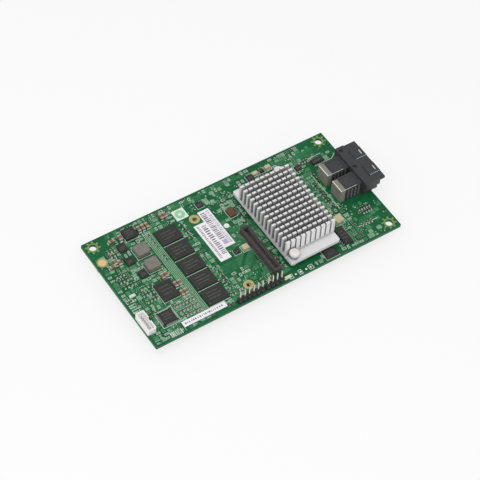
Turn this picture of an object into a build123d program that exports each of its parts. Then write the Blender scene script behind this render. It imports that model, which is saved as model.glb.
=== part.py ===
from build123d import *
import os

# RAID controller card: a bare mezzanine board, 142 x 70 mm, with its processor under a
# pin-fin heat sink, two right-angle storage sockets over the right edge, memory, power
# parts, a slot for a cache module, headers, and two host connectors on the underside.
# Millimetres. Board places are measured from the board's left edge, X towards the storage
# sockets, and from the middle of its width, Y towards the back long edge, or from an edge
# that is named. Heights are from the board's top face.
# The row's origin is the middle of the outline, on the plane that the card rests on.

# Board
board_length = 142.0
board_width = 70.0
board_thickness = 1.6
board_corner = 0.6
back = board_width / 2
front = -board_width / 2
hole_inset_x = 4.5
hole_inset_y = 4.2
corner_hole_radius = 1.9

# Host connectors on the underside, which the card rests on
host_height = 7.0
host_length = 53.0
host_width = 6.6
host_places = [(66.4, 1.0), (board_length - 23.4, 1.0)]
host_pitch = 1.6
host_end = 2.6
host_corner = 0.6
host_slot_width = 3.0
host_slot_depth = 4.6
host_tongue_width = 1.4
host_tongue_drop = 3.8
host_contact_width = 0.5
host_contact_thickness = 0.3
host_contact_setback = 0.3
host_tail_reach = 0.9

# Processor package, thermal pad and heat sink
sink_x = 93.8
sink_y = -3.8
package_side = 25.0
package_thickness = 1.5
package_corner = 0.5
die_side = 13.0
die_thickness = 0.9
pad_thickness = 0.6
sink_base_x = 28.6
sink_base_y = 52.0
sink_base_thickness = 2.0
sink_corner = 0.8
fin_columns = 10
fin_rows = 14
fin_width_x = 2.2
fin_width_y = 1.15
fin_pitch_y = 3.08
fin_height = 9.4
fin_web = 0.9

# Push pins that clip the heat sink to the board, one at each of two opposite corners
pin_offset_x = 11.1
pin_shaft_radius = 1.35
pin_hole_clearance = 0.2
pin_barb_radius = 1.75
pin_barb_length = 2.6
pin_barb_tip = 0.6
pin_slot = 0.7
pin_head_radius = 2.5
pin_head_thickness = 1.9
pin_rim = 0.35
spring_space = 2.6
spring_wire = 0.35
spring_clearance = 0.12
spring_turns = 3

# Storage sockets: two ports in one housing, over the right-hand edge
port_middle_y = 2.0
port_pitch = 11.8
block_length = 12.6
block_width = 8.8
block_height = 8.3
wafer_depth = 2.8
shell_depth = 8.8
shell_overhang = 3.2
shell_height = 9.6
shell_lower_width = 23.3
shell_upper_width = 26.6
shell_step_height = 5.4
shell_under_clearance = 0.6
flange_depth = 4.9
flange_extra = 0.6
lip_reach = 2.7
lip_thickness = 1.4
lip_slot_x = 0.8
lip_slot_y = 3.0
lip_slot_inset = 0.4
mouth_width = 10.2
mouth_wall = 0.9
mouth_depth = 7.4
bay_width = 6.6
bay_rise = 0.3
bay_length = 6.4
pocket_size = 1.8
pocket_depth = 0.8
pocket_offset = 4.4
pocket_setback = 1.0
wafer_count = 8
wafer_pitch = 1.02
wafer_thickness = 0.86
wafer_roof = 1.0
nose_reach = 3.4
card_slot = 0.9
card_slot_depth = 2.6
sas_pad_width = 0.42
sas_pad_thickness = 0.12
sas_pad_setback = 0.3
peg_radius = 0.55
peg_length = 2.4
peg_spread = 7.4
peg_setbacks = [7.8, 2.0]

# Cache-module slot and the threaded standoffs that hold the module
slot_x = 72.6
slot_y = front + 21.5
slot_length = 30.8
slot_width = 4.4
slot_height = 4.2
slot_wall = 0.9
slot_floor = 1.0
slot_end_wall = 1.6
slot_corner = 0.4
slot_lead_in = 0.45
slot_lead_in_depth = 0.3
slot_contact_pitch = 1.0
slot_contact_width = 0.4
slot_contact_thickness = 0.2
slot_contact_drop = 0.6
slot_tail_reach = 0.8
standoff_places = [(56.0, back - 14.8), (57.0, front + 8.1)]
blind_standoff_place = (3.6, back - 14.7)
standoff_radius = 2.75
standoff_flange = 0.35
standoff_neck_radius = 2.1
standoff_drop = 3.2
standoff_bore_radius = 1.25
neck_clearance = 0.05

# Pin headers on the front edge
header_pitch = 2.54
header_inset = 1.9
header_groups = [(47.8, 6), (63.8, 4)]
header_height = 2.5
header_width = 2.5
header_chamfer = 0.45
header_pin_side = 0.64
header_pin_height = 8.4
header_tail = 2.6
header_pin_tip = 0.15
header_hole_radius = 0.512

# White shrouded header at the left edge
wafer_setback = 0.15
wafer_y = -21.5
wafer_width = 4.7
wafer_length = 12.0
wafer_height = 3.7
wafer_corner = 0.45
wafer_wall = 0.7
wafer_floor = 0.9
wafer_pins = 6
wafer_pin_pitch = 1.5
wafer_pin_side = 0.5
wafer_pin_tip = 0.12
wafer_hole_radius = 0.4
wafer_pin_height = 3.2
wafer_tail = 2.4
wafer_key_width = 2.2
wafer_key_depth = 1.6

# Memory, flash and controller chips
memory_x = 39.7
memory_first_y = -23.5
memory_pitch = 10.4
memory_size = (11.6, 9.0)
memory_thickness = 1.2
memory_count = 5
under_memory_count = 4
ball_gap = 0.3
ball_inset = 0.8
chip_bevel = 0.12
lead_gap = 0.1
flash_place = (21.3, -9.7)
flash_size = (8.6, 11.0)
quad_place = (13.6, -23.0)
quad_side = 7.0
quad_height = 1.4
quad_leads = 12
quad_lead_pitch = 0.5
lead_width = 0.26
lead_thickness = 0.18
lead_reach = 1.0
lead_foot = 0.55

# Power parts
inductor_places = [(23.3, 16.4), (23.3, 6.5)]
inductor_size = (7.0, 6.7)
inductor_height = 3.0
inductor_corner = 1.0
inductor_foot = 0.35
inductor_foot_length = 1.4
inductor_foot_width = 3.35
inductor_bevel = 0.2
power_chips = [(16.4, back - 11.8, 4.3, 5.0), (15.4, 14.2, 4.3, 4.3), (17.1, 4.6, 4.0, 4.4)]
power_chip_height = 1.0
driver_place = (23.7, back - 6.4)
driver_side = 6.4
driver_height = 1.8

# Smaller chips with leads along their two long sides: x, y, size along x, along y
long_chips = [(board_length - 29.0, -26.2, 4.6, 10.3), (board_length - 13.0, back - 14.9, 6.0, 3.0)]
long_chip_height = 1.5
long_lead_pitch = 1.27
flat_chips = [(101.6, front + 3.8, 7.0, 6.0), (94.0, back - 7.0, 3.6, 3.9),
              (62.8, back - 8.4, 3.2, 3.4), (62.9, -7.3, 3.0, 2.8),
              (board_length - 23.8, back - 14.0, 3.2, 3.0), (101.5, back - 6.3, 2.4, 1.5)]
flat_chip_height = 0.95
oscillator_place = (73.7, 14.4)
oscillator_size = (3.6, 5.0)
oscillator_height = 1.4

# Tantalum blocks: x, y, size along x, along y, height
tantalums = [(board_length - 25.7, -17.0, 4.1, 4.3, 2.8), (67.8, -7.4, 3.2, 3.0, 1.8),
             (97.4, back - 5.8, 3.0, 1.9, 1.7), (105.2, back - 5.6, 3.0, 1.9, 1.7)]
tantalum_tab = 0.35
tantalum_bevel = 0.25
tantalum_tab_share = 0.6
tantalum_tab_rise = 0.55

# Larger ceramic capacitors: x, y, turned along x or along y
ceramic_size = (3.2, 1.7, 1.5)
ceramic_bevel = 0.06
ceramics = [(29.1, back - 6.4, "y"), (31.4, back - 6.4, "y"), (33.7, back - 6.4, "y"),
            (13.7, back - 6.1, "x"), (18.4, back - 6.4, "y"), (42.6, back - 5.4, "y"),
            (44.6, back - 5.4, "y"), (6.4, back - 19.8, "x"), (8.8, back - 18.0, "y"),
            (10.6, back - 19.4, "y"),
            (24.1, -1.9, "y"), (26.1, -1.6, "y"), (26.8, -9.1, "y"), (28.9, -9.1, "y"),
            (26.8, -15.0, "y"), (28.9, -15.0, "y")]

# Small two-ended chips in rows: x, y of the first, step in x, step in y, count
small_size = (1.6, 0.8, 0.5)
resistor_rows = [(board_length - 12.8, -16.2, 1.5, 0.0, 5),
                 (board_length - 11.8, -18.9, 1.5, 0.0, 4), (5.1, 9.6, 1.9, 0.0, 3),
                 (5.1, 6.0, 1.9, 0.0, 4), (5.3, 2.2, 1.9, 0.0, 4),
                 (48.6, back - 14.0, 0.0, -3.1, 4), (49.0, -9.6, 0.0, -2.9, 6),
                 (board_length - 19.8, 13.6, 0.0, -2.4, 3), (board_length - 22.8, 7.6, 0.0, -2.2, 8),
                 (31.4, 9.0, 0.0, -2.6, 2), (104.9, back - 8.4, 1.5, 0.0, 2),
                 (board_length - 20.0, back - 11.6, 1.6, 0.0, 3)]
capacitor_rows = [(9.2, back - 10.4, 1.7, 0.0, 3), (9.2, back - 13.4, 1.7, 0.0, 3),
                  (11.4, -2.4, 1.9, 0.0, 3), (10.4, -6.4, 1.8, 0.0, 4), (10.4, -10.4, 1.8, 0.0, 4),
                  (20.4, -19.6, 1.9, 0.0, 6), (20.4, -23.2, 1.9, 0.0, 6),
                  (20.4, -26.4, 1.9, 0.0, 6), (31.6, back - 11.6, 0.0, -2.7, 4),
                  (47.1, -27.2, 1.7, 0.0, 2), (77.5, 12.0, 0.0, -2.6, 4),
                  (board_length - 16.8, -25.2, 1.8, 0.0, 4), (77.4, -20.4, 0.0, -2.4, 3),
                  (99.3, back - 8.3, 1.5, 0.0, 3)]

# Status lights: x, y
lights = [(5.8, -3.9), (75.6, front + 2.0)]
light_size = (3.2, 1.6, 1.1)
light_base_share = 0.6
light_lens_length = 1.76
light_lens_width = 1.28
light_lens_bevel = 0.2

# Paper labels: x, y of the middle, size along x, along y
label_thickness = 0.1
barcode_labels = [(62.4, back - 24.6, 6.3, 25.2), (56.15, back - 31.0, 6.2, 25.0)]
strip_label = (29.6, -30.4, 24.2, 3.3)
square_sticker = (51.6, back - 8.3, 6.7, 6.5)

# Values that follow from the ones above
shell_front_x = board_length + shell_overhang
shell_rear_x = shell_front_x - shell_depth
block_rear_x = shell_rear_x - block_length
lip_front_x = shell_front_x + lip_reach
middle_x = lip_front_x / 2
header_y = front + header_inset
wafer_x = wafer_setback + wafer_width / 2
board_top = host_height + board_thickness
base_bottom = package_thickness + die_thickness + pad_thickness
base_top = base_bottom + sink_base_thickness
fin_pitch_x = (sink_base_x - fin_width_x) / (fin_columns - 1)
fin_span_y = (fin_rows - 1) * fin_pitch_y + fin_width_y
strip_width = (sink_base_y - fin_span_y) / 2
pin_offset_y = (sink_base_y - strip_width) / 2
pin_places = [(sink_x - pin_offset_x, sink_y - pin_offset_y),
              (sink_x + pin_offset_x, sink_y + pin_offset_y)]
pin_hole_radius = pin_shaft_radius + pin_hole_clearance
port_places_y = [port_middle_y - port_pitch / 2, port_middle_y + port_pitch / 2]
corner_places = [(hole_inset_x, back - hole_inset_y), (board_length - hole_inset_x, back - hole_inset_y),
                 (board_length - hole_inset_x, front + hole_inset_y)]
mouth_bottom = shell_under_clearance + mouth_wall
mouth_top = shell_height - lip_thickness
header_place_x = [first + i * header_pitch for first, count in header_groups for i in range(count)]
wafer_pin_ys = [wafer_y + (i - (wafer_pins - 1) / 2) * wafer_pin_pitch for i in range(wafer_pins)]
LOW = (Align.CENTER, Align.CENTER, Align.MIN)
HIGH = (Align.CENTER, Align.CENTER, Align.MAX)


def on_board(x, y, z=0.0):
    """A place over the board, in the row's own frame."""
    return Pos(x - middle_x, y, board_top + z)


def block(x0, x1, y0, y1, z0, z1):
    """A plain box between board coordinates."""
    box = Box(x1 - x0, y1 - y0, z1 - z0, align=(Align.MIN, Align.MIN, Align.MIN))
    return on_board(x0, y0, z0) * box


def save(name, solids):
    """Write one node, as one solid or as a group of separate solids."""
    solids = solids if isinstance(solids, list) else [solids]
    shape = solids[0] if len(solids) == 1 else Compound(children=solids)
    export_step(shape, "parts/" + name + ".step")


def chip_body(x, y, size_x, size_y, height, gap=0.0, bevel=chip_bevel):
    """A moulded chip body with its top edges eased."""
    body = on_board(x, y, gap) * Box(size_x, size_y, height - gap, align=LOW)
    return chamfer(body.faces().sort_by(Axis.Z)[-1].edges(), bevel)


def circuit_board():
    board = on_board(board_length / 2, 0) * Box(board_length, board_width, board_thickness, align=HIGH)
    board = fillet(board.edges().filter_by(Axis.Z), board_corner)
    cuts = [(x, y, corner_hole_radius) for x, y in corner_places]
    cuts += [(x, y, standoff_neck_radius + neck_clearance)
             for x, y in standoff_places + [blind_standoff_place]]
    cuts += [(x, y, pin_hole_radius) for x, y in pin_places]
    cuts += [(x, y, peg_radius + neck_clearance) for x, y in peg_places()]
    cuts += [(x, header_y, header_hole_radius) for x in header_place_x]
    cuts += [(wafer_x, y, wafer_hole_radius) for y in wafer_pin_ys]
    holes = [on_board(x, y) * Cylinder(r, 3 * board_thickness) for x, y, r in cuts]
    return board - holes


def processor_package():
    body = on_board(sink_x, sink_y) * Box(package_side, package_side, package_thickness, align=LOW)
    return chamfer(body.edges().filter_by(Axis.Z), package_corner)


def processor_die():
    return on_board(sink_x, sink_y, package_thickness) * Box(die_side, die_side, die_thickness, align=LOW)


def thermal_pad():
    height = package_thickness + die_thickness
    return on_board(sink_x, sink_y, height) * Box(die_side, die_side, pad_thickness, align=LOW)


def fin_row():
    """One extruded rib, cut across into fins down to a low web."""
    rib = Pos(0, 0, fin_height / 2) * Box(sink_base_x, fin_width_y, fin_height)
    slot_width = fin_pitch_x - fin_width_x
    slot_height = fin_height - fin_web
    cutter = Pos(0, 0, fin_web + slot_height / 2) * Box(slot_width, 2 * fin_width_y, slot_height)
    first = -(fin_columns - 2) / 2 * fin_pitch_x
    return rib - [Pos(first + i * fin_pitch_x, 0, 0) * cutter for i in range(fin_columns - 1)]


def heat_sink():
    base = on_board(sink_x, sink_y, base_bottom)
    base = base * Box(sink_base_x, sink_base_y, sink_base_thickness, align=LOW)
    base = fillet(base.edges().filter_by(Axis.Z), sink_corner)
    row = fin_row()
    first = sink_y - (fin_rows - 1) / 2 * fin_pitch_y
    rows = [on_board(sink_x, first + i * fin_pitch_y, base_top) * row for i in range(fin_rows)]
    holes = [on_board(x, y, base_bottom) * Cylinder(pin_hole_radius, 3 * sink_base_thickness)
             for x, y in pin_places]
    return (base + rows) - holes


def push_pin(x, y):
    """Domed head, shaft through the sink and the board, and a split barbed end."""
    head_bottom = base_top + spring_space
    head_top = head_bottom + pin_head_thickness
    barb_top = -board_thickness
    tip = barb_top - pin_barb_length
    outline = Polyline((0, tip), (pin_barb_tip, tip), (pin_barb_radius, barb_top - pin_rim),
                       (pin_barb_radius, barb_top), (pin_shaft_radius, barb_top),
                       (pin_shaft_radius, head_bottom), (pin_head_radius, head_bottom),
                       (pin_head_radius, head_top - 2 * pin_rim),
                       (pin_head_radius - pin_rim, head_top - pin_rim),
                       (pin_shaft_radius, head_top), (0, head_top), (0, tip))
    body = revolve(Plane.XZ * make_face(outline), Axis.Z)
    slot_height = pin_barb_length + board_thickness + base_bottom
    slot = Pos(0, 0, tip + slot_height / 2) * Box(pin_slot, 3 * pin_barb_radius, slot_height)
    return on_board(x, y) * (body - slot)


def pin_spring(x, y):
    """Compression spring between the heat sink's base and the pin's head."""
    radius = pin_shaft_radius + spring_clearance + spring_wire / 2
    height = spring_space - spring_wire
    coil = Helix(height / spring_turns, height, radius)
    start = coil @ 0
    wire = Plane(origin=start, z_dir=coil % 0) * Rectangle(spring_wire, spring_wire)
    return on_board(x, y, base_top + spring_wire / 2) * sweep(wire, path=coil, is_frenet=True)


def peg_places():
    """The sockets' locating pegs, either side of the pair of ports' own middle."""
    return [(shell_rear_x - setback, port_middle_y + side * peg_spread)
            for setback in peg_setbacks for side in (-1, 1)]


def shell_outer():
    """The housing's outside: front shell, flange, lip and the two rear blocks."""
    def wide(x0, x1, width, z0, z1):
        return block(x0, x1, port_middle_y - width / 2, port_middle_y + width / 2, z0, z1)
    lower = wide(shell_rear_x, board_length, shell_lower_width, 0, shell_step_height)
    nose = wide(shell_rear_x, shell_front_x, shell_lower_width, shell_under_clearance, shell_step_height)
    upper = wide(shell_rear_x, shell_front_x, shell_upper_width, shell_step_height, shell_height)
    flange = wide(shell_rear_x, shell_rear_x + flange_depth, shell_upper_width + 2 * flange_extra,
                  shell_step_height, shell_height)
    lip = wide(shell_front_x, lip_front_x, shell_upper_width, mouth_top, shell_height)
    shell = lower + nose + upper + flange + lip
    for y in port_places_y:
        half = block_width / 2
        shell += block(block_rear_x + wafer_depth, shell_rear_x, y - half, y + half, 0, block_height)
        half = bay_width / 2
        shell += block(lip_front_x - bay_length, lip_front_x, y - half, y + half,
                       shell_height, shell_height + bay_rise)
    return shell


def sas_housing():
    shell = shell_outer()
    tunnel = wafer_pitch * wafer_count / 2
    for y in port_places_y:
        half = mouth_width / 2
        shell -= block(shell_front_x - mouth_depth, shell_front_x, y - half, y + half,
                       mouth_bottom, mouth_top)
        shell -= block(block_rear_x, shell_front_x - mouth_depth, y - tunnel, y + tunnel,
                       mouth_bottom, block_height - wafer_roof)
        slot_x0 = shell_front_x + lip_slot_inset
        shell -= block(slot_x0, slot_x0 + lip_slot_x, y - lip_slot_y / 2, y + lip_slot_y / 2,
                       mouth_top, shell_height + bay_rise)
        side = y + pocket_offset
        pocket_x0 = shell_rear_x + pocket_setback
        shell -= block(pocket_x0, pocket_x0 + pocket_size, side, side + pocket_size,
                       shell_height - pocket_depth, shell_height)
    return shell


def sas_pegs():
    pegs = []
    for x, y in peg_places():
        peg = Cylinder(peg_radius, peg_length, align=HIGH)
        peg = chamfer(peg.faces().sort_by(Axis.Z)[0].edges(), peg_radius / 2)
        pegs.append(on_board(x, y) * peg)
    return pegs


def sas_wafer(y):
    """One contact wafer: a tall tail outside the housing and a slotted nose in the mouth."""
    mouth_back = shell_front_x - mouth_depth
    nose_front = mouth_back + nose_reach
    bottom = mouth_bottom
    top = block_height - wafer_roof
    half = wafer_thickness / 2
    body = block(block_rear_x, block_rear_x + wafer_depth, y - half, y + half, 0, block_height)
    body += block(block_rear_x, nose_front, y - half, y + half, bottom, top)
    step = (top - bottom - 2 * card_slot) / 3
    for level in (bottom + step, bottom + 2 * step + card_slot):
        body -= block(nose_front - card_slot_depth, nose_front, y - half, y + half,
                      level, level + card_slot)
    return body


def wafer_ys():
    return [y + (i - (wafer_count - 1) / 2) * wafer_pitch
            for y in port_places_y for i in range(wafer_count)]


def sas_contact_pads():
    """Gold contacts on the floor and roof of each card slot."""
    nose_front = shell_front_x - mouth_depth + nose_reach
    bottom = mouth_bottom
    step = (block_height - wafer_roof - bottom - 2 * card_slot) / 3
    pads = []
    for y in wafer_ys():
        half = sas_pad_width / 2
        for level in (bottom + step, bottom + 2 * step + card_slot):
            roof = level + card_slot
            for z0 in (level, roof - sas_pad_thickness):
                pads.append(block(nose_front - card_slot_depth, nose_front - sas_pad_setback,
                                  y - half, y + half, z0, z0 + sas_pad_thickness))
    return pads


def host_housing(x, y):
    """Receptacle that faces down: outer walls, slot, and a tongue down its middle."""
    frame = on_board(x, y, -board_thickness)
    body = frame * Box(host_width, host_length, host_height, align=HIGH)
    body = chamfer(body.edges().filter_by(Axis.Z), host_corner)
    slot_length = host_length - 2 * host_end
    slot = on_board(x, y, -board_thickness - host_height + host_slot_depth)
    slot = slot * Box(host_slot_width, slot_length, host_slot_depth, align=HIGH)
    ceiling = -board_thickness - host_height + host_slot_depth
    tongue = on_board(x, y, ceiling) * Box(host_tongue_width, slot_length, host_tongue_drop, align=HIGH)
    return body - slot + tongue


def host_contacts(x, y):
    """Contact strips on both faces of the tongue, and solder tails beside the housing."""
    count = int((host_length - 2 * host_end) / host_pitch) - 1
    ceiling = -board_thickness - host_height + host_slot_depth
    strips = []
    for i in range(count):
        cy = y + (i - (count - 1) / 2) * host_pitch
        half = host_contact_width / 2
        for side in (-1, 1):
            face = x + side * host_tongue_width / 2
            out = face + side * host_contact_thickness
            strips.append(block(min(face, out), max(face, out), cy - half, cy + half,
                                ceiling - host_tongue_drop + host_contact_setback, ceiling))
            wall = x + side * host_width / 2
            foot = wall + side * host_tail_reach
            strips.append(block(min(wall, foot), max(wall, foot), cy - half, cy + half,
                                -board_thickness - host_contact_thickness, -board_thickness))
    return strips


def cache_slot_housing():
    body = on_board(slot_x, slot_y) * Box(slot_width, slot_length, slot_height, align=LOW)
    body = chamfer(body.edges().filter_by(Axis.Z), slot_corner)
    inner = on_board(slot_x, slot_y, slot_floor)
    inner = inner * Box(slot_width - 2 * slot_wall, slot_length - 2 * slot_end_wall, slot_height, align=LOW)
    body -= inner
    lead_in = on_board(slot_x, slot_y, slot_height)
    lead_in = lead_in * Box(slot_width - 2 * slot_wall + 2 * slot_lead_in,
                            slot_length - 2 * slot_end_wall + 2 * slot_lead_in, 2 * slot_lead_in_depth)
    return body - lead_in


def cache_slot_contacts():
    """Contacts up the inner walls and tails on the board beside the housing."""
    count = int((slot_length - 2 * slot_end_wall) / slot_contact_pitch) - 1
    contacts = []
    for i in range(count):
        cy = slot_y + (i - (count - 1) / 2) * slot_contact_pitch
        half = slot_contact_width / 2
        for side in (-1, 1):
            face = slot_x + side * (slot_width / 2 - slot_wall)
            inward = face - side * slot_contact_thickness
            contacts.append(block(min(face, inward), max(face, inward), cy - half, cy + half,
                                  slot_floor, slot_height - slot_contact_drop))
            wall = slot_x + side * slot_width / 2
            foot = wall + side * slot_tail_reach
            contacts.append(block(min(wall, foot), max(wall, foot), cy - half, cy + half,
                                  0, slot_contact_thickness))
    return contacts


def standoff(place, through):
    """Swaged brass standoff: flange on the top face, neck in the board, body below."""
    x, y = place
    flange = on_board(x, y) * Cylinder(standoff_radius, standoff_flange, align=LOW)
    neck = on_board(x, y) * Cylinder(standoff_neck_radius, board_thickness, align=HIGH)
    body = on_board(x, y, -board_thickness) * Cylinder(standoff_radius, standoff_drop, align=HIGH)
    part = flange + neck + body
    bottom = -board_thickness - standoff_drop
    depth = standoff_drop + board_thickness + standoff_flange if through else standoff_drop
    return part - on_board(x, y, bottom) * Cylinder(standoff_bore_radius, depth, align=LOW)


def header_base(first, count):
    """Black base of a single-row header, notched between its pins."""
    body = on_board(first + (count - 1) * header_pitch / 2, header_y)
    body = body * Box(count * header_pitch, header_width, header_height, align=LOW)
    notch = Rectangle(2 * header_chamfer, 2 * header_chamfer)
    notch = extrude(Rot(0, 0, 45) * notch, header_height)
    for i in range(count + 1):
        x = first + (i - 0.5) * header_pitch
        body -= [on_board(x, header_y + side * header_width / 2) * notch for side in (-1, 1)]
    for i in range(count):
        x = first + i * header_pitch
        body -= on_board(x, header_y) * Box(header_pin_side, header_pin_side, header_height, align=LOW)
    return body


def square_pin(x, y, side, bottom, top, tip):
    """A square pin with both ends bevelled."""
    pin = on_board(x, y, bottom) * Box(side, side, top - bottom, align=LOW)
    ends = pin.faces().sort_by(Axis.Z)
    return chamfer(ends[0].edges() + ends[-1].edges(), tip)


def wafer_housing():
    """White shroud, open at the top, with a key slot in its right-hand wall."""
    body = on_board(wafer_x, wafer_y) * Box(wafer_width, wafer_length, wafer_height, align=LOW)
    body = chamfer(body.edges().filter_by(Axis.Z), wafer_corner)
    inner = on_board(wafer_x, wafer_y, wafer_floor)
    inner = inner * Box(wafer_width - 2 * wafer_wall, wafer_length - 2 * wafer_wall, wafer_height,
                        align=LOW)
    body -= inner
    key = on_board(wafer_x + wafer_width / 2, wafer_y, wafer_height)
    body -= key * Box(2.5 * wafer_wall, wafer_key_width, 2 * wafer_key_depth)
    holes = [on_board(wafer_x, y) * Box(wafer_pin_side, wafer_pin_side, wafer_floor, align=LOW)
             for y in wafer_pin_ys]
    return body - holes


def memory_chip(i, underside=False):
    y = memory_first_y + i * memory_pitch
    if not underside:
        return chip_body(memory_x, y, *memory_size, memory_thickness, ball_gap)
    height = memory_thickness - ball_gap
    frame = on_board(memory_x, y + memory_pitch / 2, -board_thickness - ball_gap)
    return frame * Box(*memory_size, height, align=HIGH)


def ball_field(x, y, size_x, size_y, top_side=True):
    """The solder under a ball-grid chip, as one thin field set back from the body."""
    z = 0 if top_side else -board_thickness
    align = LOW if top_side else HIGH
    return on_board(x, y, z) * Box(size_x - 2 * ball_inset, size_y - 2 * ball_inset, ball_gap, align=align)


def solder_fields():
    fields = [ball_field(memory_x, memory_first_y + i * memory_pitch, *memory_size)
              for i in range(memory_count)]
    fields += [ball_field(memory_x, memory_first_y + (i + 0.5) * memory_pitch, *memory_size, False)
               for i in range(under_memory_count)]
    return fields + [ball_field(*flash_place, *flash_size)]


def gull_lead(direction, x, y, z_exit, reach):
    """One gull-wing lead that leaves a body at x, y and ends flat on the board."""
    t = lead_thickness
    run = reach - lead_foot
    profile = Polyline((0, z_exit), (run, z_exit), (run, t), (reach, t), (reach, 0),
                       (run - t, 0), (run - t, z_exit - t), (0, z_exit - t), (0, z_exit))
    lead = extrude(Plane.XZ * make_face(profile), lead_width / 2, both=True)
    return on_board(x, y) * Rot(0, 0, direction) * lead


def quad_chip_leads():
    leads = []
    x, y = quad_place
    for direction, (ux, uy) in ((0, (1, 0)), (90, (0, 1)), (180, (-1, 0)), (270, (0, -1))):
        for i in range(quad_leads):
            along = (i - (quad_leads - 1) / 2) * quad_lead_pitch
            cx = x + ux * quad_side / 2 - uy * along
            cy = y + uy * quad_side / 2 + ux * along
            leads.append(gull_lead(direction, cx, cy, quad_height / 2, lead_reach))
    return leads


def long_chip_leads(x, y, size_x, size_y):
    """Leads along the two long sides of a small-outline chip."""
    leads = []
    along_y = size_y > size_x
    count = int(max(size_x, size_y) / long_lead_pitch)
    for i in range(count):
        step = (i - (count - 1) / 2) * long_lead_pitch
        for side in (-1, 1):
            if along_y:
                turn = 0 if side > 0 else 180
                leads.append(gull_lead(turn, x + side * size_x / 2, y + step,
                                       long_chip_height / 2, lead_reach))
            else:
                leads.append(gull_lead(90 * side, x + step, y + side * size_y / 2,
                                       long_chip_height / 2, lead_reach))
    return leads


def inductor(x, y):
    size_x, size_y = inductor_size
    body = on_board(x, y, inductor_foot) * Box(size_x, size_y, inductor_height - inductor_foot, align=LOW)
    body = chamfer(body.edges().filter_by(Axis.Z), inductor_corner)
    return chamfer(body.faces().sort_by(Axis.Z)[-1].edges(), inductor_bevel)


def inductor_feet(x, y):
    foot = Box(inductor_foot_length, inductor_foot_width, inductor_foot, align=LOW)
    reach = (inductor_size[0] - inductor_foot_length) / 2
    return [on_board(x + side * reach, y) * foot for side in (-1, 1)]


def tantalum(x, y, size_x, size_y, height):
    return chip_body(x, y, size_x, size_y, height, 0.0, tantalum_bevel)


def tantalum_tabs(x, y, size_x, size_y, height):
    """Metal tabs folded up the two ends of a tantalum block."""
    tabs = []
    for side in (-1, 1):
        tab = Box(size_x * tantalum_tab_share, tantalum_tab, height * tantalum_tab_rise, align=LOW)
        tabs.append(on_board(x, y + side * (size_y + tantalum_tab) / 2) * tab)
    return tabs


def two_ended(x, y, size, along):
    length, width, height = size
    if along == "y":
        length, width = width, length
    return chip_body(x, y, length, width, height, 0.0, ceramic_bevel)


def small_row(x, y, step_x, step_y, count):
    """A row of small chips, each lying across the row."""
    length, width, height = small_size
    along_x = abs(step_x) < abs(step_y)
    size = (length, width, height) if along_x else (width, length, height)
    return [on_board(x + i * step_x, y + i * step_y) * Box(*size, align=LOW) for i in range(count)]


def small_chips(rows):
    return [chip for row in rows for chip in small_row(*row)]


def status_light(x, y):
    length, width, height = light_size
    base_height = height * light_base_share
    base = on_board(x, y) * Box(length, width, base_height, align=LOW)
    lens = Box(light_lens_length, light_lens_width, height - base_height, align=LOW)
    lens = chamfer(lens.faces().sort_by(Axis.Z)[-1].edges(), light_lens_bevel)
    lens = on_board(x, y, base_height) * lens
    return base + lens


def label(x, y, size_x, size_y):
    return on_board(x, y) * Box(size_x, size_y, label_thickness, align=LOW)


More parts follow.
